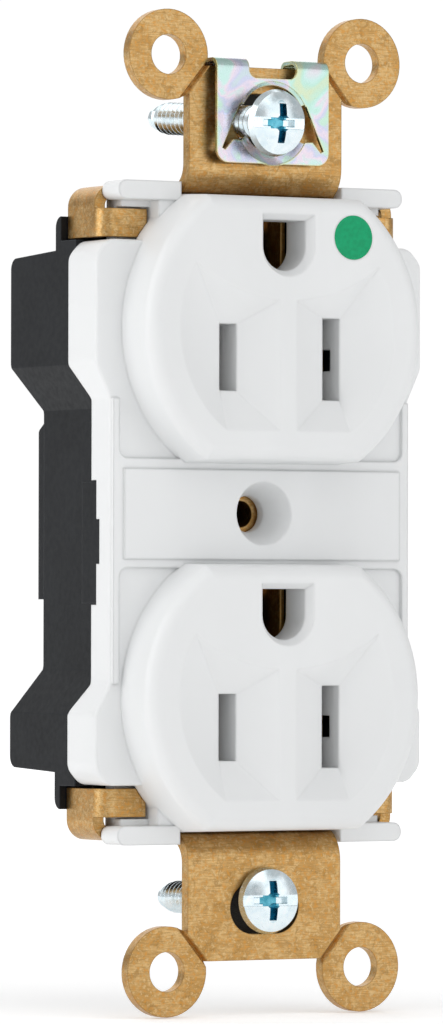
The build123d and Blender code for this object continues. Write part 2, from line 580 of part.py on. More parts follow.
with BuildPart() as mounting_strap:
    # Yokes, legs and the long run, as one bent strip
    with BuildSketch(Plane.YZ):
        with BuildLine():
            FilletPolyline(
                (-half_sheet, YOKE_END), (-half_sheet, leg_height), (-RUN_FRONT + half_sheet, leg_height),
                (-RUN_FRONT + half_sheet, -leg_height), (-half_sheet, -leg_height),
                (-half_sheet, -YOKE_END),
                radius=[YOKE_BEND - half_sheet, RUN_BEND, RUN_BEND, YOKE_BEND - half_sheet],
            )
        trace(line_width=STRAP_THICKNESS)
    extrude(amount=YOKE_HALF_WIDTH, both=True)
    for side in (-1, 1):
        block(sorted((side * RUN_HALF_WIDTH, side * 12.0)), (-30.0, 30.0), RUN_FRONT + 0.2, RUN_BACK - 0.2,
              mode=Mode.SUBTRACT)
    # Arms that wrap around the sides, and hooks that hold the cover's corners
    for end in (-1, 1):
        with BuildSketch(level(ARM_FRONT)):
            with BuildLine():
                FilletPolyline(
                    (-arm_x, end * ARM_LOW), (-arm_x, end * leg_height),
                    (arm_x, end * leg_height), (arm_x, end * ARM_LOW),
                    radius=ARM_BEND,
                )
            trace(line_width=STRAP_THICKNESS)
        extrude(amount=ARM_BACK - ARM_FRONT)
        for side in (-1, 1):
            with BuildSketch(Plane.XY.offset(end * (ARM_LOW + ARM_HIGH) / 2)):
                with BuildLine():
                    FilletPolyline(
                        (side * arm_x, -ARM_BACK), (side * arm_x, -HOOK_LEVEL + half_sheet),
                        (side * HOOK_TIP, -HOOK_LEVEL + half_sheet),
                        radius=HOOK_BEND,
                    )
                trace(line_width=STRAP_THICKNESS)
            extrude(amount=(ARM_HIGH - ARM_LOW) / 2, both=True)
            corner = (HOOK_TIP, ARM_LOW)
            triangle = [corner, (HOOK_TIP + HOOK_CHAMFER, ARM_LOW), (HOOK_TIP, ARM_LOW + HOOK_CHAMFER)]
            add(outline_prism([(side * x, end * z) for x, z in triangle], 0, -3.0), mode=Mode.SUBTRACT)
    # Mounting ears, scored so that they can be broken off
    for end in (-1, 1):
        for side in (-1, 1):
            rod(side * EAR_SPACING_X / 2, end * EAR_SPACING_Z / 2, EAR_RADIUS, STRAP_THICKNESS, 0)
            rod(side * EAR_SPACING_X / 2, end * EAR_SPACING_Z / 2, EAR_HOLE_RADIUS, STRAP_THICKNESS, 0,
                mode=Mode.SUBTRACT)
            score_x = EAR_SPACING_X / 2 - SCORE_DISTANCE * math.cos(SCORE_ANGLE)
            score_z = EAR_SPACING_Z / 2 - SCORE_DISTANCE * math.sin(SCORE_ANGLE)
            score_line = Plane(
                origin=(side * score_x, -STRAP_THICKNESS, end * score_z),
                x_dir=(0, 1, 0),
                z_dir=(side * math.sin(SCORE_ANGLE), 0, -end * math.cos(SCORE_ANGLE)),
            )
            with BuildSketch(score_line):
                with BuildLine():
                    Polyline((-0.2, -0.45), (-0.2, 0.45), (SCORE_DEPTH, 0), close=True)
                make_face()
            extrude(amount=2.9, both=True, mode=Mode.SUBTRACT)
        # Wide slot for the mounting screw
        with BuildSketch(level(STRAP_THICKNESS)):
            with Locations((0, end * SCREW_SPACING / 2)):
                SlotOverall(*MOUNTING_SLOT)
        extrude(amount=-STRAP_THICKNESS, mode=Mode.SUBTRACT)
    # Pads around the ground pins and the tapped centre hole with its extruded collar
    for centre in OUTLETS.values():
        rod(0, ground_height(centre), 5.2, RUN_FRONT, RUN_BACK)
        rod(0, ground_height(centre), GROUND_PIN_CLEARANCE, RUN_FRONT + 0.5, RUN_BACK - 0.5,
            mode=Mode.SUBTRACT)
    rod(0, 0, 5.0, RUN_FRONT, RUN_BACK)
    rod(0, 0, COLLAR_RADIUS, COLLAR_FRONT, RUN_FRONT)
    rod(0, 0, PLATE_SCREW_BORE, COLLAR_FRONT, RUN_BACK, mode=Mode.SUBTRACT)


# ---- grounding clip: spring steel, hooked over the upper yoke ------------------------------------
clip_middle = CLIP_LEVEL - CLIP_SHEET / 2
with BuildPart() as ground_clip:
    with BuildSketch(Plane.YZ):
        with BuildLine():
            FilletPolyline(
                (-clip_middle, CLIP_LOW), (-clip_middle, CLIP_HIGH),
                (CLIP_HOOK_DEPTH, CLIP_HIGH), (CLIP_HOOK_DEPTH, CLIP_HIGH - 1.4),
                radius=[0.9, 0.7],
            )
        trace(line_width=CLIP_SHEET)
    extrude(amount=CLIP_HALF_WIDTH, both=True)
    # Notch between the two fingers
    with BuildSketch(level(5.0)):
        with Locations((0, CLIP_NOTCH_LOW + 4)):
            RectangleRounded(2 * CLIP_NOTCH_HALF_WIDTH, 8, CLIP_NOTCH_CORNER)
    extrude(amount=-10, mode=Mode.SUBTRACT)
    # Round opening with a long pointed cut-out on each side
    rod(0, CLIP_CENTRE, CLIP_OPENING_RADIUS, 5.0, 0, mode=Mode.SUBTRACT)
    for side in (-1, 1):
        cut_out = [(4.1, 1.9), (6.25, -2.8), (5.9, -3.0), (4.9, -1.9), (3.3, -2.0), (0, 0)]
        add(outline_prism([(side * x, CLIP_CENTRE + z) for x, z in cut_out], 5.0, 0), mode=Mode.SUBTRACT)
    low_corners = ground_clip.edges().filter_by(Axis.Y).group_by(Axis.Z)[0]
    fillet(low_corners.filter_by(lambda edge: abs(edge.center().X) > CLIP_HALF_WIDTH - 0.1), radius=1.4)
    # Dished tongue around the screw below, and a small turned-in lip above
    for end, inner, depth in (CLIP_TONGUE, CLIP_LIP):
        edge = [
            (-CLIP_LEVEL, CLIP_OPENING_RADIUS + 0.15),
            (-CLIP_LEVEL + CLIP_SHEET, CLIP_OPENING_RADIUS + 0.15),
            (-CLIP_LEVEL + depth, inner),
            (-CLIP_LEVEL + depth - CLIP_SHEET, inner),
        ]
        with BuildSketch(Plane.YZ):
            with BuildLine():
                Polyline(*[(y, CLIP_CENTRE + end * radius) for y, radius in edge], close=True)
            make_face()
        rim = revolve(axis=Axis((0, 0, CLIP_CENTRE), (0, 1, 0)), revolution_arc=CLIP_EDGE_ARC)
        mirror(rim, about=Plane.YZ)


# ---- mounting screws and their retaining washers -------------------------------------------------
def head_plane(x, height, seat_level, sideways, rise):
    """Plane under a screw's head, its normal outwards; the angles say how the tip leans to +X and up."""
    across = math.radians(sideways)
    up = math.radians(rise)
    return Plane(
        origin=(x, -seat_level, height),
        x_dir=(math.cos(across), -math.sin(across), 0),
        z_dir=(-math.sin(across) * math.cos(up), -math.cos(across) * math.cos(up), -math.sin(up)),
    )


def mounting_screw(seat, length):
    """No. 6-32 pan-head screw with a combination slot and cross recess; threads as rings."""
    across = Plane(origin=seat.origin, x_dir=seat.x_dir, z_dir=seat.x_dir.cross(seat.z_dir))
    turns = int((length - 1.6) / THREAD_PITCH)
    thread = [(0.0, -length), (0.75, -length)]
    for turn in range(turns):
        crest = min(THREAD_RADIUS, 1.2 + 0.22 * turn)
        at = -length + 0.7 + turn * THREAD_PITCH
        thread += [(crest, at), (crest, at + 0.1 * THREAD_PITCH)]
        thread += [(min(crest, THREAD_ROOT), at + 0.5 * THREAD_PITCH)]
    with BuildPart() as screw:
        with BuildSketch(across):
            with BuildLine():
                Polyline(*thread, (THREAD_ROOT, 0), (3.3, 0), (HEAD_RADIUS, 0.3), (3.3, HEAD_SIDE))
                ThreePointArc((3.3, HEAD_SIDE), (1.75, 1.57), (0, HEAD_HEIGHT))
                Line((0, HEAD_HEIGHT), (0, -length))
            make_face()
        revolve(axis=Axis(seat.origin, seat.z_dir))
        with BuildSketch(seat.offset(HEAD_HEIGHT - DRIVE_SLOT[2])):
            Rectangle(DRIVE_SLOT[0], DRIVE_SLOT[1])
        extrude(amount=HEAD_HEIGHT, mode=Mode.SUBTRACT)
        with BuildSketch(seat.offset(HEAD_HEIGHT - DRIVE_CROSS[2])):
            Rectangle(DRIVE_CROSS[0], DRIVE_CROSS[1])
            Rectangle(DRIVE_CROSS[1], DRIVE_CROSS[0])
            Circle(DRIVE_CENTRE)
        extrude(amount=HEAD_HEIGHT, taper=-7, mode=Mode.SUBTRACT)
    return screw


def screw_retainer(seat, depth):
    """Square fibre washer that keeps a mounting screw in the strap."""
    with BuildPart() as washer:
        with BuildSketch(seat.offset(-depth)):
            RectangleRounded(10.5, 8.0, 0.8)
            Circle(THREAD_RADIUS + THREAD_CLEARANCE, mode=Mode.SUBTRACT)
        extrude(amount=-RETAINER_THICKNESS)
    return washer


upper_seat = head_plane(-1.1, 41.15, 4.7, -4.8, 4.6)
lower_seat = head_plane(0, -40.9, 1.6, 1.2, -0.9)
upper_mounting_screw = mounting_screw(upper_seat, SCREW_LENGTH)
lower_mounting_screw = mounting_screw(lower_seat, SCREW_LENGTH)
upper_screw_retainer = screw_retainer(upper_seat, 5.6)
lower_screw_retainer = screw_retainer(lower_seat, 2.3)


# ---- live parts: contacts, bus bars and their rivets ---------------------------------------------
def slot_contact(side, centre):
    """Two sprung leaves that grip a plug's blade; the leaves are joined behind the blade's tip."""
    middle = side * SLOT_SPACING / 2
    half_gap = CONTACT_OUTER - CONTACT_SHEET / 2
    leaf = [(half_gap + 0.15, 0.1), (half_gap - 0.45, 3.2), (half_gap, 7.2), (half_gap, 13.0)]
    path = leaf + [(-x, y) for x, y in reversed(leaf)]
    with BuildPart() as contact:
        with BuildSketch(Plane.XY.offset(slot_height(centre))):
            with BuildLine():
                FilletPolyline(*[(middle + x, y) for x, y in path], radius=0.5)
            trace(line_width=CONTACT_SHEET)
        extrude(amount=CONTACT_HEIGHT / 2, both=True)
    return contact


def bus_bar(side):
    """Brass bar that joins one side's two contacts, with the blade that enters the wiring port."""
    sheet = sorted((side * BUS_INNER, side * (BUS_INNER + BUS_SHEET)))
    reach = CONTACT_HEIGHT / 2
    with BuildPart() as bar:
        block(sheet, (slot_height(OUTLETS["lower"]) - reach, slot_height(OUTLETS["upper"]) + reach),
              BUS_FRONT, BUS_BACK)
        block(sheet, BLADE_RANGE, BUS_BACK + 1, BLADE_BACK)
        tips = bar.edges().filter_by(Axis.Z).group_by(Axis.Y)[-1]
        chamfer(tips, length=0.25)
    return bar


hot_contact_upper = slot_contact(SIDES["hot"], OUTLETS["upper"])
hot_contact_lower = slot_contact(SIDES["hot"], OUTLETS["lower"])
neutral_contact_upper = slot_contact(SIDES["neutral"], OUTLETS["upper"])
neutral_contact_lower = slot_contact(SIDES["neutral"], OUTLETS["lower"])
hot_bus_bar = bus_bar(SIDES["hot"])
neutral_bus_bar = bus_bar(SIDES["neutral"])

with BuildPart() as contact_rivets:
    for side in SIDES.values():
        for centre in OUTLETS.values():
            inner = SLOT_SPACING / 2 + CONTACT_OUTER - CONTACT_SHEET
            outer = BUS_INNER + BUS_SHEET
            with Locations((side * (inner + outer) / 2, -(BUS_FRONT + BUS_BACK) / 2, slot_height(centre))):
                Cylinder(RIVET_RADIUS, outer - inner, rotation=(0, 90, 0))
            with Locations((side * (outer + 0.25), -(BUS_FRONT + BUS_BACK) / 2, slot_height(centre))):
                Cylinder(1.5, 0.5, rotation=(0, 90, 0))

# The rivets fill their holes in the bars and in the contacts' outer leaves
hot_contact_upper = hot_contact_upper.part - contact_rivets.part
hot_contact_lower = hot_contact_lower.part - contact_rivets.part
neutral_contact_upper = neutral_contact_upper.part - contact_rivets.part
neutral_contact_lower = neutral_contact_lower.part - contact_rivets.part
hot_bus_bar = hot_bus_bar.part - contact_rivets.part
neutral_bus_bar = neutral_bus_bar.part - contact_rivets.part


# ---- ground parts: contacts riveted to the strap, and the blade for the wiring port --------------
def ground_contact(centre):
    """Base on the strap's front with two sprung leaves that grip a plug's ground pin."""
    pin = ground_height(centre)
    base_y = -RUN_FRONT - CONTACT_SHEET / 2
    with BuildPart() as contact:
        for side in (-1, 1):
            with BuildSketch(Plane.XY.offset(pin)):
                with BuildLine():
                    FilletPolyline(
                        (side * 2.4, -0.8), (side * 2.05, 1.2), (side * 2.85, base_y), (side * 4.8, base_y),
                        radius=[0.8, 0.5],
                    )
                trace(line_width=CONTACT_SHEET)
            extrude(amount=3.0, both=True)
        # Bridges above and below the pin join the two leaves
        for end in (-1, 1):
            block((-4.8, 4.8), sorted((pin + end * 2.75, pin + end * 3.45)), RUN_FRONT + CONTACT_SHEET,
                  RUN_FRONT)
    return contact


with BuildPart() as ground_terminal:
    block((-GROUND_BLADE_HALF_WIDTH, GROUND_BLADE_HALF_WIDTH),
          (3.1, GROUND_BLADE_HEIGHT + BUS_SHEET / 2), RUN_BACK, RUN_BACK - BUS_SHEET)
    block((-GROUND_BLADE_HALF_WIDTH, GROUND_BLADE_HALF_WIDTH),
          (GROUND_BLADE_HEIGHT - BUS_SHEET / 2, GROUND_BLADE_HEIGHT + BUS_SHEET / 2),
          RUN_BACK, BLADE_BACK)
    chamfer(ground_terminal.edges().filter_by(Axis.X).group_by(Axis.Y)[-1], length=0.25)

with BuildPart() as ground_rivets:
    for centre in OUTLETS.values():
        for side in (-1, 1):
            rod(side * 3.95, ground_height(centre), 0.7, RUN_FRONT + CONTACT_SHEET + 0.4, RUN_BACK - 0.4)
            rod(side * 3.95, ground_height(centre), 1.1, RUN_FRONT + CONTACT_SHEET + 0.4,
                RUN_FRONT + CONTACT_SHEET)
            rod(side * 3.95, ground_height(centre), 1.1, RUN_BACK, RUN_BACK - 0.4)
    rod(0, 4.2, 0.7, RUN_FRONT + 0.4, RUN_BACK - BUS_SHEET - 0.4)
    rod(0, 4.2, 1.1, RUN_FRONT + 0.4, RUN_FRONT)
    rod(0, 4.2, 1.1, RUN_BACK - BUS_SHEET, RUN_BACK - BUS_SHEET - 0.4)

ground_contact_upper = ground_contact(OUTLETS["upper"]).part - ground_rivets.part
ground_contact_lower = ground_contact(OUTLETS["lower"]).part - ground_rivets.part
riveted_terminal = ground_terminal.part - ground_rivets.part
riveted_strap = mounting_strap.part - ground_rivets.part


# ---- assembly screws: four thread-forming screws from the back of the body into the cover --------
with BuildPart() as assembly_screws:
    for x, z in ASSEMBLY_SCREWS:
        rod(x, z, ASSEMBLY_SCREW_RADIUS, -1.0, ASSEMBLY_HEAD_SEAT)
        rod(x, z, ASSEMBLY_HEAD_RADIUS, ASSEMBLY_HEAD_SEAT, ASSEMBLY_HEAD_SEAT - 1.3)
        block((x - 1.4, x + 1.4), (z - 0.3, z + 0.3), ASSEMBLY_HEAD_SEAT - 0.6, ASSEMBLY_HEAD_SEAT - 2,
              mode=Mode.SUBTRACT)
        block((x - 0.3, x + 0.3), (z - 1.4, z + 1.4), ASSEMBLY_HEAD_SEAT - 0.6, ASSEMBLY_HEAD_SEAT - 2,
              mode=Mode.SUBTRACT)


# ---- one STEP file per piece ---------------------------------------------------------------------
pieces = {
    "face_cover": face_cover.part,
    "green_dot": green_dot.part,
    "back_body": back_body.part,
    "contact_insulator": contact_insulator.part,
    "mounting_strap": riveted_strap,
    "ground_clip": ground_clip.part,
    "upper_mounting_screw": upper_mounting_screw.part,
    "lower_mounting_screw": lower_mounting_screw.part,
    "upper_screw_retainer": upper_screw_retainer.part,
    "lower_screw_retainer": lower_screw_retainer.part,
    "hot_bus_bar": hot_bus_bar,
    "neutral_bus_bar": neutral_bus_bar,
    "hot_contact_upper": hot_contact_upper,
    "hot_contact_lower": hot_contact_lower,
    "neutral_contact_upper": neutral_contact_upper,
    "neutral_contact_lower": neutral_contact_lower,
    "contact_rivets": contact_rivets.part,
    "ground_contact_upper": ground_contact_upper,
    "ground_contact_lower": ground_contact_lower,
    "ground_terminal": riveted_terminal,
    "ground_rivets": ground_rivets.part,
    "assembly_screws": assembly_screws.part,
}
os.makedirs("parts", exist_ok=True)
for name, piece in pieces.items():
    piece.label = name
    export_step(piece, f"parts/{name}.step")
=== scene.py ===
import json
import math

import bpy
from mathutils import Matrix, Vector


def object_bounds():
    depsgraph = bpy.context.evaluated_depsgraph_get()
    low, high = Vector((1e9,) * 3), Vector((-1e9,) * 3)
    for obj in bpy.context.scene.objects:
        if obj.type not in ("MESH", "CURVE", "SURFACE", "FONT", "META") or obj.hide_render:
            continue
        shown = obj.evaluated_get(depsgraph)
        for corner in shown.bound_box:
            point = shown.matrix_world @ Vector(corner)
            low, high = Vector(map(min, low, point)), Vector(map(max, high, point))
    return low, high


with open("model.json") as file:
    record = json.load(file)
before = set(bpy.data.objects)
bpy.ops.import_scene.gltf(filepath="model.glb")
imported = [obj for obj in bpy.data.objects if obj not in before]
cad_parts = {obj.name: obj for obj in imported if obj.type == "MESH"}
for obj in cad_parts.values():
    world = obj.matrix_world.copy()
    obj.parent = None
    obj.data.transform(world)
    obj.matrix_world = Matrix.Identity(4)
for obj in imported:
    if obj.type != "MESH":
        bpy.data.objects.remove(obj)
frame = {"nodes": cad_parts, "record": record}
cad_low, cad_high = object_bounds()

MM = 0.001

# ---- camera: a long lens, a little left of the outlet and level with its middle -------------------
CAMERA_AZIMUTH = math.radians(-30.7)
CAMERA_ELEVATION = math.radians(-0.87)
CAMERA_ROLL = math.radians(0.11)
CAMERA_DISTANCE = 740.4 * MM
CAMERA_RIGHT = -4.63 * MM      # where the view's centre passes the ears' plane, from the frame's origin
CAMERA_UP = 0.17 * MM
CAMERA_FORWARD = -1.27 * MM
LENS = 245.9
SENSOR = 36.0
NEAR_CLIP = 10 * MM
FAR_CLIP = 20.0

# ---- studio ---------------------------------------------------------------------------------------
SKY_LOW = (0.92, 0.93, 0.95, 1)
SKY_HIGH = (1.0, 1.0, 1.0, 1)
SKY_HIGH_FROM = 0.6            # on the ramp that runs from the horizon to straight up
SKY_STRENGTH = 0.53
PAPER_STRENGTH = 1.02
FLOOR_HALF_SIZE = 4.0
FLOOR_GAP = 0.1 * MM
FLOOR_SHADES = ((0.9, 0.9, 0.9), (0.93, 0.93, 0.93))
FLOOR_GLOW_NEAR = 0.26
FLOOR_GLOW_FAR = 0.60
FLOOR_GLOW_REACH = (250, 1400)  # millimetres from the outlet, where the glow starts to rise and is full

# ---- finishes -------------------------------------------------------------------------------------
# Each brass part's bright and dull colours, and a darker oxide colour that also paints shade along every
# edge
STRAP_BRASS = ((0.64, 0.415, 0.175), (0.51, 0.30, 0.105), (0.31, 0.175, 0.055))
CONTACT_BRASS = ((0.66, 0.45, 0.18), (0.55, 0.34, 0.12), (0.40, 0.23, 0.07))
RIVET_BRASS = ((0.70, 0.50, 0.22), (0.60, 0.40, 0.15), (0.45, 0.28, 0.09))
ORANGE_SPOT = (0.60, 0.28, 0.06)
PALE_SPOT = (0.74, 0.55, 0.29)
# Features per millimetre on each axis, for a grain that runs along X or Z
BRASS_GRAIN = {"X": (0.22, 2.4, 3.4), "Z": (3.4, 2.4, 0.22)}

# Cosines between the softened and the true normal, where an edge begins and where it is full
EDGE_COSINES = (0.995, 0.85)
BEVEL_SAMPLES = 6

# The mounting screws' drive recess, painted dark teal as shade, in millimetres
RECESS_RADIUS = 2.35
RECESS_SHAPE = (2.3, 0.0, 1.0)  # it is 2.3 times narrower than tall, and its depth doesn't count
RECESS_FADE = 0.1
DOME_HEIGHT = 1.5

# The Mix node's colour sockets, which share their names with its other sockets
MIX_FIRST = 6
MIX_SECOND = 7
MIX_RESULT = 2


def camera_axes():
    """The camera's right, up and backward directions in the frame."""
    back = Vector((
        math.sin(CAMERA_AZIMUTH) * math.cos(CAMERA_ELEVATION),
        -math.cos(CAMERA_AZIMUTH) * math.cos(CAMERA_ELEVATION),
        math.sin(CAMERA_ELEVATION),
    ))
    level = Vector((math.cos(CAMERA_AZIMUTH), math.sin(CAMERA_AZIMUTH), 0))
    upright = back.cross(level)
    right = level * math.cos(CAMERA_ROLL) + upright * math.sin(CAMERA_ROLL)
    return right, back.cross(right), back


def add_camera():
    """The photograph's viewing angle."""
    right, up, back = camera_axes()
    data = bpy.data.cameras.new("camera")
    data.lens = LENS
    data.sensor_width = SENSOR
    data.clip_start = NEAR_CLIP
    data.clip_end = FAR_CLIP
    camera = bpy.data.objects.new("camera", data)
    place = Vector((0, CAMERA_FORWARD, 0)) + right * CAMERA_RIGHT + up * CAMERA_UP + back * CAMERA_DISTANCE
    turn = Matrix((right, up, back)).transposed()
    camera.matrix_world = Matrix.Translation(place) @ turn.to_4x4()
    bpy.context.scene.collection.objects.link(camera)
    bpy.context.scene.camera = camera


# ---- studio: pale surroundings, soft boxes and a pale floor --------------------------------------
def add_softbox(name, azimuth, elevation, distance, size, power):
    """A square area light aimed at the outlet's middle; angles in degrees, lengths in metres, watts."""
    data = bpy.data.lights.new(name, "AREA")
    data.shape = "SQUARE"
    data.size = size
    data.energy = power
    light = bpy.data.objects.new(name, data)
    around, above = math.radians(azimuth), math.radians(elevation)
    away = Vector((
        math.sin(around) * math.cos(above),
        -math.cos(around) * math.cos(above),
        math.sin(above),
    ))
    light.location = (cad_low + cad_high) / 2 + away * distance
    light.rotation_mode = "QUATERNION"
    light.rotation_quaternion = away.to_track_quat("Z", "Y")
    bpy.context.scene.collection.objects.link(light)


def add_surroundings():
    """A pale studio: bright above, a little dimmer below."""
    world = bpy.data.worlds.new("studio")
    bpy.context.scene.world = world
    world.use_nodes = True
    tree = world.node_tree
    coordinates = tree.nodes.new("ShaderNodeTexCoord")
    split = tree.nodes.new("ShaderNodeSeparateXYZ")
    ramp = tree.nodes.new("ShaderNodeValToRGB")
    tree.links.new(coordinates.outputs["Generated"], split.inputs["Vector"])
    tree.links.new(split.outputs["Z"], ramp.inputs["Fac"])
    bottom, top = ramp.color_ramp.elements
    bottom.position = 0.0
    bottom.color = SKY_LOW
    top.position = SKY_HIGH_FROM
    top.color = SKY_HIGH
    sky = tree.nodes["Background"]
    tree.links.new(ramp.outputs["Color"], sky.inputs["Color"])
    sky.inputs["Strength"].default_value = SKY_STRENGTH
    # The camera sees the backdrop as plain white paper, brighter than the light it gives
    paper = tree.nodes.new("ShaderNodeBackground")
    paper.inputs["Color"].default_value = (1, 1, 1, 1)
    paper.inputs["Strength"].default_value = PAPER_STRENGTH
    path = tree.nodes.new("ShaderNodeLightPath")
    choice = tree.nodes.new("ShaderNodeMixShader")
    tree.links.new(path.outputs["Is Camera Ray"], choice.inputs["Fac"])
    tree.links.new(sky.outputs["Background"], choice.inputs[1])
    tree.links.new(paper.outputs["Background"], choice.inputs[2])
    tree.links.new(choice.outputs["Shader"], tree.nodes["World Output"].inputs["Surface"])


def add_floor():
    """A wide pale floor just under the lower ears."""
    reach = FLOOR_HALF_SIZE
    height = cad_low.z - FLOOR_GAP
    corners = [
        (-reach, -reach, height),
        (reach, -reach, height),
        (reach, reach, height),
        (-reach, reach, height),
    ]
    mesh = bpy.data.meshes.new("floor")
    mesh.from_pydata(corners, [], [(0, 1, 2, 3)])
    floor = bpy.data.objects.new("floor", mesh)
    bpy.context.scene.collection.objects.link(floor)
    surface = Surface("floor_paper")
    surface.colour(*FLOOR_SHADES, surface.noise(0.02, detail=4))
    surface.set("Roughness", 0.9)
    # The paper glows a little more far away, where the soft boxes no longer reach it
    away = surface.vector("LENGTH", surface.millimetres)
    glow = surface.levels(away, *FLOOR_GLOW_REACH, FLOOR_GLOW_NEAR, FLOOR_GLOW_FAR)
    surface.set("Emission Color", (1, 1, 1, 1))
    surface.link(glow, "Emission Strength")
    mesh.materials.append(surface.material)


# ---- building blocks of the materials ------------------------------------------------------------
class Surface:
    """A Principled material whose patterns are measured in millimetres of the object's own space."""

    def __init__(self, name):
        self.material = bpy.data.materials.new(name)
        self.material.use_nodes = True
        self.tree = self.material.node_tree
        self.shader = self.tree.nodes["Principled BSDF"]
        coordinates = self.tree.nodes.new("ShaderNodeTexCoord")
        scale = self.tree.nodes.new("ShaderNodeVectorMath")
        scale.operation = "SCALE"
        scale.inputs["Scale"].default_value = 1 / MM
        self.tree.links.new(coordinates.outputs["Object"], scale.inputs[0])
        self.millimetres = scale.outputs["Vector"]

    def set(self, socket, value):
        """One value on the shader's own socket, the same all over the surface."""
        self.shader.inputs[socket].default_value = value

    def link(self, output, socket):
        """A pattern into one of the shader's sockets."""
        self.tree.links.new(output, self.shader.inputs[socket])

    def node(self, kind, **inputs):
        """A node with these inputs, each a value or another node's output."""
        made = self.tree.nodes.new(kind)
        for name, value in inputs.items():
            self.feed(made.inputs[name], value)
        return made

    def feed(self, socket, value):
        """A value or another node's output into a socket."""
        if isinstance(value, bpy.types.NodeSocket):
            self.tree.links.new(value, socket)
        else:
            socket.default_value = value

    def stretched(self, scale):
        """Coordinates scaled per axis, for grain that runs one way."""
        return self.node("ShaderNodeMapping", Vector=self.millimetres, Scale=scale).outputs["Vector"]

    def noise(self, per_mm, detail=2.0, where=None, distortion=0.0, roughness=0.5):
        """Fractal noise from 0 to 1 with this many features per millimetre."""
        vector = self.millimetres if where is None else where
        texture = self.node("ShaderNodeTexNoise", Vector=vector, Scale=per_mm, Detail=detail,
                            Distortion=distortion, Roughness=roughness)
        return texture.outputs["Fac"]

    def levels(self, value, low, high, to_low=0.0, to_high=1.0):
        """The value stretched from low..high to the new range, and clamped."""
        mapped = self.node("ShaderNodeMapRange", Value=value)
        mapped.inputs["From Min"].default_value = low
        mapped.inputs["From Max"].default_value = high
        mapped.inputs["To Min"].default_value = to_low
        mapped.inputs["To Max"].default_value = to_high
        return mapped.outputs["Result"]

    def combine(self, operation, first, second):
        """A sum, product or other operation on two numbers."""
        made = self.tree.nodes.new("ShaderNodeMath")
        made.operation = operation
        self.feed(made.inputs[0], first)
        self.feed(made.inputs[1], second)
        return made.outputs["Value"]

    def vector(self, operation, first, second=None):
        """A vector operation on one or two vectors; lengths and dot products come back as numbers."""
        made = self.tree.nodes.new("ShaderNodeVectorMath")
        made.operation = operation
        self.feed(made.inputs[0], first)
        if second is not None:
            self.feed(made.inputs[1], second)
        return made.outputs["Value" if operation in ("LENGTH", "DOT_PRODUCT") else "Vector"]

    def mix(self, factor, first, second):
        """A colour between two colours, each an RGB triple or another node's output."""
        made = self.tree.nodes.new("ShaderNodeMix")
        made.data_type = "RGBA"
        self.tree.links.new(factor, made.inputs["Factor"])
        for slot, colour in ((MIX_FIRST, first), (MIX_SECOND, second)):
            self.feed(made.inputs[slot], (*colour, 1) if isinstance(colour, tuple) else colour)
        return made.outputs[MIX_RESULT]

    def ramp(self, value, stops):
        """A colour ramp from (position, RGB) stops."""
        made = self.node("ShaderNodeValToRGB", Fac=value)
        elements = made.color_ramp.elements
        while len(elements) < len(stops):
            elements.new(0.5)
        for element, (position, colour) in zip(elements, stops):
            element.position = position
            element.color = (*colour, 1)
        return made.outputs["Color"]

    def colour(self, first, second, factor):
        """The surface's colour, between two colours."""
        self.link(self.mix(factor, first, second), "Base Color")

    def softened(self, radius):
        """The normal as if every edge had this small radius, in millimetres."""
        bevel = self.node("ShaderNodeBevel", Radius=radius * MM)
        bevel.samples = BEVEL_SAMPLES
        return bevel.outputs["Normal"]

    def edges(self, radius, strength):
        """The strength along edges and 0 on flat or gently curved areas, within this many millimetres."""
        geometry = self.tree.nodes.new("ShaderNodeNewGeometry")
        agreement = self.vector("DOT_PRODUCT", self.softened(radius), geometry.outputs["Normal"])
        return self.combine("MULTIPLY", self.levels(agreement, *EDGE_COSINES), strength)

    def relief(self, heights, edge_radius=0.0):
        """Bumps from (value, height in mm) pairs, over edges softened by a radius in millimetres."""
        normal = self.softened(edge_radius) if edge_radius else None
        for value, height in heights:
            bump = self.node("ShaderNodeBump", Height=value, Strength=1.0, Distance=height * MM)
            if normal is not None:
                self.tree.links.new(normal, bump.inputs["Normal"])
            normal = bump.outputs["Normal"]
        self.link(normal, "Normal")


# ---- materials -----------------------------------------------------------------------------------
def white_nylon():
    """Moulded nylon with faint flow clouds, a fine grain and a little light under its skin."""
    surface = Surface("white_nylon")
    flow = surface.noise(0.05, detail=3, where=surface.stretched((1.0, 1.0, 0.35)), distortion=0.6)
    shade, light = (0.755, 0.765, 0.768), (0.79, 0.80, 0.803)
    surface.colour(shade, light, surface.levels(flow, 0.35, 0.65))
    wiped = surface.noise(0.9, detail=4)
    surface.link(surface.levels(wiped, 0.3, 0.7, to_low=0.34, to_high=0.44), "Roughness")
    surface.set("Subsurface Weight", 0.06)
    surface.set("Subsurface Radius", (1.0, 0.95, 0.9))
    surface.set("Subsurface Scale", 0.8 * MM)
    surface.set("IOR", 1.52)
    grain = surface.noise(6.0, detail=3)
    waviness = surface.noise(0.12)
    surface.relief([(grain, 0.0022), (waviness, 0.02)], edge_radius=0.4)
    return surface.material


def green_mark():
    """Printed green ink, slightly mottled."""
    surface = Surface("green_mark")
    mottle = surface.noise(2.6, detail=4)
    deep, light = (0.0, 0.29, 0.115), (0.0, 0.35, 0.145)
    surface.colour(deep, light, surface.levels(mottle, 0.35, 0.7))
    surface.set("Specular IOR Level", 0.25)
    sheen = surface.noise(1.2, detail=3)
    surface.link(surface.levels(sheen, 0.3, 0.7, to_low=0.34, to_high=0.48), "Roughness")
    surface.relief([(surface.noise(5.0, detail=3), 0.003)])
    return surface.material


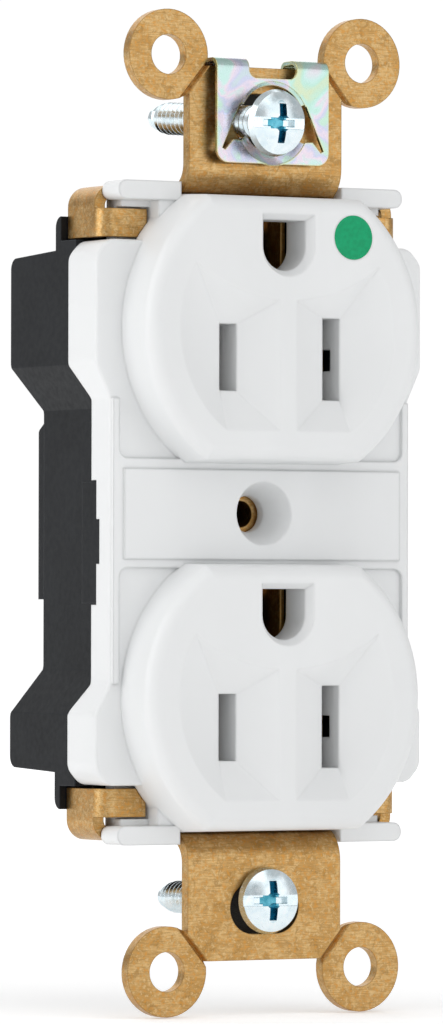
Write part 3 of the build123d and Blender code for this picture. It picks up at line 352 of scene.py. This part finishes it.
def black_thermoplastic():
    """Moulded black plastic with a fine spark-eroded grain and paler edges, a painted highlight along
    every edge with a little wear.
    """
    surface = Surface("black_thermoplastic")
    cloud = surface.noise(0.16, detail=4, distortion=0.4)
    deep, light, wear_and_edge_highlight = (0.0058, 0.0068, 0.0084), (0.0085, 0.0098, 0.0118), (0.035, 0.04, 0.046)
    base = surface.mix(surface.levels(cloud, 0.35, 0.65), deep, light)
    # Paler along every edge: a painted highlight, with a little wear
    surface.colour(base, wear_and_edge_highlight, surface.edges(0.25, strength=0.5))
    surface.set("Specular IOR Level", 0.2)
    sheen = surface.noise(1.6, detail=3)
    surface.link(surface.levels(sheen, 0.3, 0.7, to_low=0.42, to_high=0.54), "Roughness")
    grain = surface.noise(9.0, detail=3)
    waviness = surface.noise(0.3)
    surface.relief([(grain, 0.006), (waviness, 0.015)], edge_radius=0.2)
    return surface.material


def brass(name, light, dark, tarnish_and_edge_shade, grain_axis="X", spots=0.7):
    """Rolled brass sheet: brushed along one axis, cloudy patches, orange and pale spots, oxide stains, and
    painted shade darkening every edge.
    """
    surface = Surface(name)
    grain = surface.noise(2.6, detail=6, where=surface.stretched(BRASS_GRAIN[grain_axis]), roughness=0.75)
    patches = surface.noise(0.34, detail=5, distortion=0.7, roughness=0.6)
    freckles = surface.noise(2.3, detail=4, distortion=0.3, roughness=0.7)
    stains = surface.noise(0.7, detail=5, distortion=1.2, roughness=0.7)
    body = surface.mix(surface.levels(patches, 0.43, 0.57), dark, light)
    streaked = surface.mix(surface.levels(grain, 0.46, 0.58, to_high=0.55), body, tarnish_and_edge_shade)
    stained = surface.mix(surface.levels(stains, 0.53, 0.62, to_high=0.55), streaked, tarnish_and_edge_shade)
    spotted = surface.mix(surface.levels(freckles, 0.54, 0.60, to_high=spots), stained, ORANGE_SPOT)
    pale = surface.mix(surface.levels(freckles, 0.45, 0.38, to_high=0.45), spotted, PALE_SPOT)
    # Every edge darkened with the oxide colour: painted shade along the edges, with some oxide
    surface.colour(pale, tarnish_and_edge_shade, surface.edges(0.22, strength=0.7))
    surface.set("Metallic", 1.0)
    polish = surface.combine("ADD", patches, grain)
    surface.link(surface.levels(polish, 0.75, 1.3, to_low=0.28, to_high=0.46), "Roughness")
    surface.relief([(grain, 0.006), (freckles, 0.006)], edge_radius=0.12)
    return surface.material


def clip_steel():
    """Zinc-plated spring steel with a yellow-green, pink and lavender passivation."""
    surface = Surface("clip_steel")
    drift = surface.noise(0.17, detail=3, where=surface.stretched((1.0, 1.0, 0.8)), distortion=1.3)
    film = surface.ramp(surface.levels(drift, 0.34, 0.66), [
        (0.0, (0.60, 0.70, 0.50)),
        (0.2, (0.48, 0.72, 0.62)),
        (0.42, (0.54, 0.74, 0.70)),
        (0.60, (0.74, 0.64, 0.72)),
        (0.78, (0.56, 0.58, 0.74)),
        (1.0, (0.52, 0.72, 0.60)),
    ])
    yellow = (0.72, 0.66, 0.25)
    surface.colour(film, yellow, surface.edges(0.3, strength=0.8))
    surface.set("Metallic", 1.0)
    polish = surface.noise(1.1, detail=4)
    surface.link(surface.levels(polish, 0.3, 0.7, to_low=0.20, to_high=0.32), "Roughness")
    rolling = surface.noise(1.6, detail=5, where=surface.stretched((2.4, 1.0, 0.15)))
    waviness = surface.noise(0.25)
    surface.relief([(rolling, 0.002), (waviness, 0.02)], edge_radius=0.08)
    return surface.material


def zinc_screw(name, seat=None, outwards=None):
    """Bright zinc plate with fine marks; the drive recess, if a seat is given, is deep teal: painted shade
    in the recess, with a teal tint.
    """
    surface = Surface(name)
    cloud = surface.levels(surface.noise(0.8, detail=4, distortion=0.5), 0.35, 0.65)
    plate = surface.mix(cloud, (0.70, 0.82, 0.87), (0.84, 0.92, 0.95))
    if seat is None:
        surface.link(plate, "Base Color")
    else:
        # The recess, painted dark as shade, is a tall narrow patch around the axis, lower than the head's
        # dome
        from_seat = surface.vector("SUBTRACT", surface.millimetres, seat / MM)
        height = surface.vector("DOT_PRODUCT", from_seat, outwards)
        reach = surface.vector("LENGTH", surface.vector("MULTIPLY", from_seat, RECESS_SHAPE))
        near = surface.levels(reach, RECESS_RADIUS, RECESS_RADIUS - RECESS_FADE)
        below = surface.levels(height, DOME_HEIGHT, DOME_HEIGHT - 2 * RECESS_FADE)
        above = surface.levels(height, 0.0, RECESS_FADE)
        recess_shade = surface.combine("MULTIPLY", surface.combine("MULTIPLY", near, below), above)
        # Deep teal in the recess: painted shade, with a teal tint
        teal = surface.mix(cloud, (0.06, 0.30, 0.40), (0.16, 0.48, 0.60))
        surface.colour(plate, teal, recess_shade)
    surface.set("Metallic", 1.0)
    polish = surface.noise(2.0, detail=4)
    surface.link(surface.levels(polish, 0.3, 0.7, to_low=0.16, to_high=0.30), "Roughness")
    grain = surface.noise(7.0, detail=3)
    waviness = surface.noise(0.9)
    surface.relief([(grain, 0.0015), (waviness, 0.006)], edge_radius=0.06)
    return surface.material


def fibre_washer():
    """Pressed fibre with short random strands, dark grey to nearly black all over."""
    surface = Surface("fibre_washer")
    strands = surface.noise(2.4, detail=6, where=surface.stretched((1.0, 1.0, 3.0)), distortion=2.0)
    deep, light = (0.018, 0.018, 0.019), (0.06, 0.058, 0.055)
    surface.colour(deep, light, surface.levels(strands, 0.3, 0.7))
    surface.set("Roughness", 0.85)
    surface.relief([(strands, 0.03)])
    return surface.material


def dress(node, material):
    """The node's only material."""
    node.data.materials.clear()
    node.data.materials.append(material)


# ---- the scene -----------------------------------------------------------------------------------
materials = {
    "white_nylon": white_nylon(),
    "green_mark": green_mark(),
    "black_thermoplastic": black_thermoplastic(),
    "strap_brass": brass("strap_brass", *STRAP_BRASS),
    "contact_brass": brass("contact_brass", *CONTACT_BRASS, grain_axis="Z", spots=0.3),
    "rivet_brass": brass("rivet_brass", *RIVET_BRASS, spots=0.2),
    "clip_steel": clip_steel(),
    "zinc_screw": zinc_screw("zinc_screw"),
    "fibre_washer": fibre_washer(),
}

# Each CAD node takes the material that the record gives it
slots = {row["node"]: row["material_slot"] for row in frame["record"]["subparts"]}
for name, node in frame["nodes"].items():
    dress(node, materials[slots[name]])

# The mounting screws' recesses carry painted shade in deep teal, so each screw has its own material, set
# by its joint
for joint in frame["record"]["behaviour"]["joints"]:
    if joint["type"] == "hinge":
        node = frame["nodes"][joint["name"].replace("screw_turn", "mounting_screw")]
        dress(node, zinc_screw(node.name + "_plate", Vector(joint["pos_m"]), Vector(joint["axis"])))

add_floor()
add_surroundings()
add_softbox("key_left", azimuth=-95, elevation=25, distance=0.9, size=0.8, power=3.3)
add_softbox("front_top", azimuth=-5, elevation=50, distance=1.0, size=0.9, power=2.2)
add_softbox("front_right", azimuth=33, elevation=4, distance=1.1, size=0.9, power=1.7)
add_softbox("back", azimuth=170, elevation=30, distance=1.2, size=1.0, power=2.5)
add_camera()
bpy.context.scene.view_settings.view_transform = "Standard"
